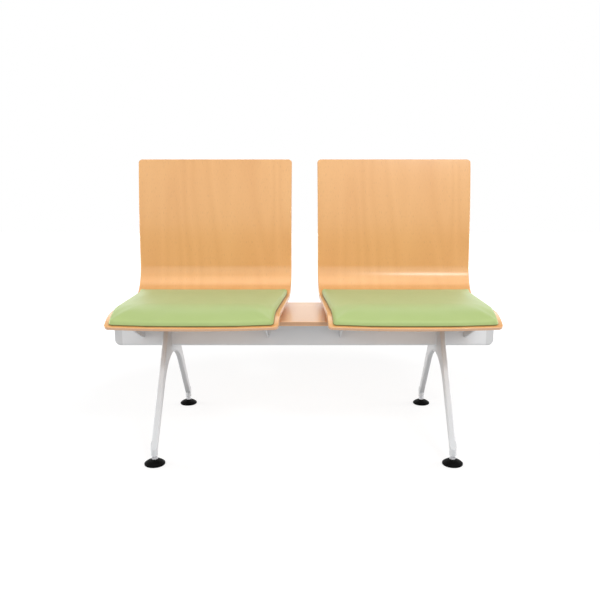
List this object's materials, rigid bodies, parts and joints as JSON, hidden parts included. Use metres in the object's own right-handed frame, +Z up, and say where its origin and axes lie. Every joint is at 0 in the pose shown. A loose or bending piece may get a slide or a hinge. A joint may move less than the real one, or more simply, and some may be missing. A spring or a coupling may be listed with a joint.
{
  "type": "beam seating bench",
  "caption": "Beam bench with moulded plywood seats, padded seat cushions and a small linking table, on A-shaped legs with levelling feet.",
  "frame": {"origin": "on the floor, under the middle of the beam", "axes": "+X along the beam to the right as seen from the front, -Y to the front, +Z up"},
  "size_m": [1.138, 0.58, 0.8363],
  "materials": {
    "beech_shell": "moulded beech plywood, clear satin lacquer",
    "beech_table": "flat beech plywood, clear satin lacquer",
    "pad_board": "plain plywood",
    "pad_foam": "polyurethane foam",
    "pad_cover": "apple-green vinyl, satin",
    "beam_paint": "satin grey powder coat",
    "cap_plastic": "grey moulded plastic",
    "leg_casting": "light grey painted casting",
    "bracket_steel": "grey painted steel plate",
    "fastener_steel": "zinc-plated steel",
    "insert_brass": "plain brass",
    "foot_plastic": "black moulded plastic",
    "stem_steel": "zinc-plated steel"
  },
  "bodies": {
    "bench": {"left_shell": "beech_shell", "right_shell": "beech_shell", "table_top": "beech_table", "left_pad_board": "pad_board", "right_pad_board": "pad_board", "left_pad_foam": "pad_foam", "right_pad_foam": "pad_foam", "left_pad_cover": "pad_cover", "right_pad_cover": "pad_cover", "beam": "beam_paint", "left_end_cap": "cap_plastic", "right_end_cap": "cap_plastic", "left_leg": "leg_casting", "right_leg": "leg_casting", "left_outer_arm": "bracket_steel", "left_inner_arm": "bracket_steel", "right_outer_arm": "bracket_steel", "right_inner_arm": "bracket_steel", "left_clamp_plate": "bracket_steel", "right_clamp_plate": "bracket_steel", "table_carrier": "bracket_steel", "left_arm_bolts": "fastener_steel", "right_arm_bolts": "fastener_steel", "left_clamp_screws": "fastener_steel", "right_clamp_screws": "fastener_steel", "left_shell_screws": "fastener_steel", "right_shell_screws": "fastener_steel", "left_pad_screws": "fastener_steel", "right_pad_screws": "fastener_steel", "table_carrier_bolts": "fastener_steel", "table_screws": "fastener_steel", "beam_rivet_nuts": "fastener_steel", "left_shell_inserts": "insert_brass", "right_shell_inserts": "insert_brass", "table_inserts": "insert_brass"},
    "left_front_foot": {"left_front_foot_base": "foot_plastic"},
    "left_front_stem": {"left_front_foot_stem": "stem_steel"},
    "left_rear_foot": {"left_rear_foot_base": "foot_plastic"},
    "left_rear_stem": {"left_rear_foot_stem": "stem_steel"},
    "right_front_foot": {"right_front_foot_base": "foot_plastic"},
    "right_front_stem": {"right_front_foot_stem": "stem_steel"},
    "right_rear_foot": {"right_rear_foot_base": "foot_plastic"},
    "right_rear_stem": {"right_rear_foot_stem": "stem_steel"}
  },
  "joints": [
    {"name": "left_front_foot_height", "type": "slide", "parent": "bench", "child": "left_front_foot", "axis": [0, 0, -1], "range_m": [-0.003, 0.012]},
    {"name": "left_front_stem_turn", "type": "hinge", "parent": "left_front_foot", "child": "left_front_stem", "pos_m": [-0.406, -0.262, 0.008], "axis": [0, 0, -1], "range_deg": [-721, 2881]},
    {"name": "left_rear_foot_height", "type": "slide", "parent": "bench", "child": "left_rear_foot", "axis": [0, 0, -1], "range_m": [-0.003, 0.012]},
    {"name": "left_rear_stem_turn", "type": "hinge", "parent": "left_rear_foot", "child": "left_rear_stem", "pos_m": [-0.406, 0.262, 0.008], "axis": [0, 0, -1], "range_deg": [-721, 2881]},
    {"name": "right_front_foot_height", "type": "slide", "parent": "bench", "child": "right_front_foot", "axis": [0, 0, -1], "range_m": [-0.003, 0.012]},
    {"name": "right_front_stem_turn", "type": "hinge", "parent": "right_front_foot", "child": "right_front_stem", "pos_m": [0.406, -0.262, 0.008], "axis": [0, 0, -1], "range_deg": [-721, 2881]},
    {"name": "right_rear_foot_height", "type": "slide", "parent": "bench", "child": "right_rear_foot", "axis": [0, 0, -1], "range_m": [-0.003, 0.012]},
    {"name": "right_rear_stem_turn", "type": "hinge", "parent": "right_rear_foot", "child": "right_rear_stem", "pos_m": [0.406, 0.262, 0.008], "axis": [0, 0, -1], "range_deg": [-721, 2881]}
  ],
  "couplings": [
    {"joint": "left_front_stem_turn", "follows": "left_front_foot_height", "rad_per_m": 4188.8},
    {"joint": "left_rear_stem_turn", "follows": "left_rear_foot_height", "rad_per_m": 4188.8},
    {"joint": "right_front_stem_turn", "follows": "right_front_foot_height", "rad_per_m": 4188.8},
    {"joint": "right_rear_stem_turn", "follows": "right_rear_foot_height", "rad_per_m": 4188.8}
  ]
}
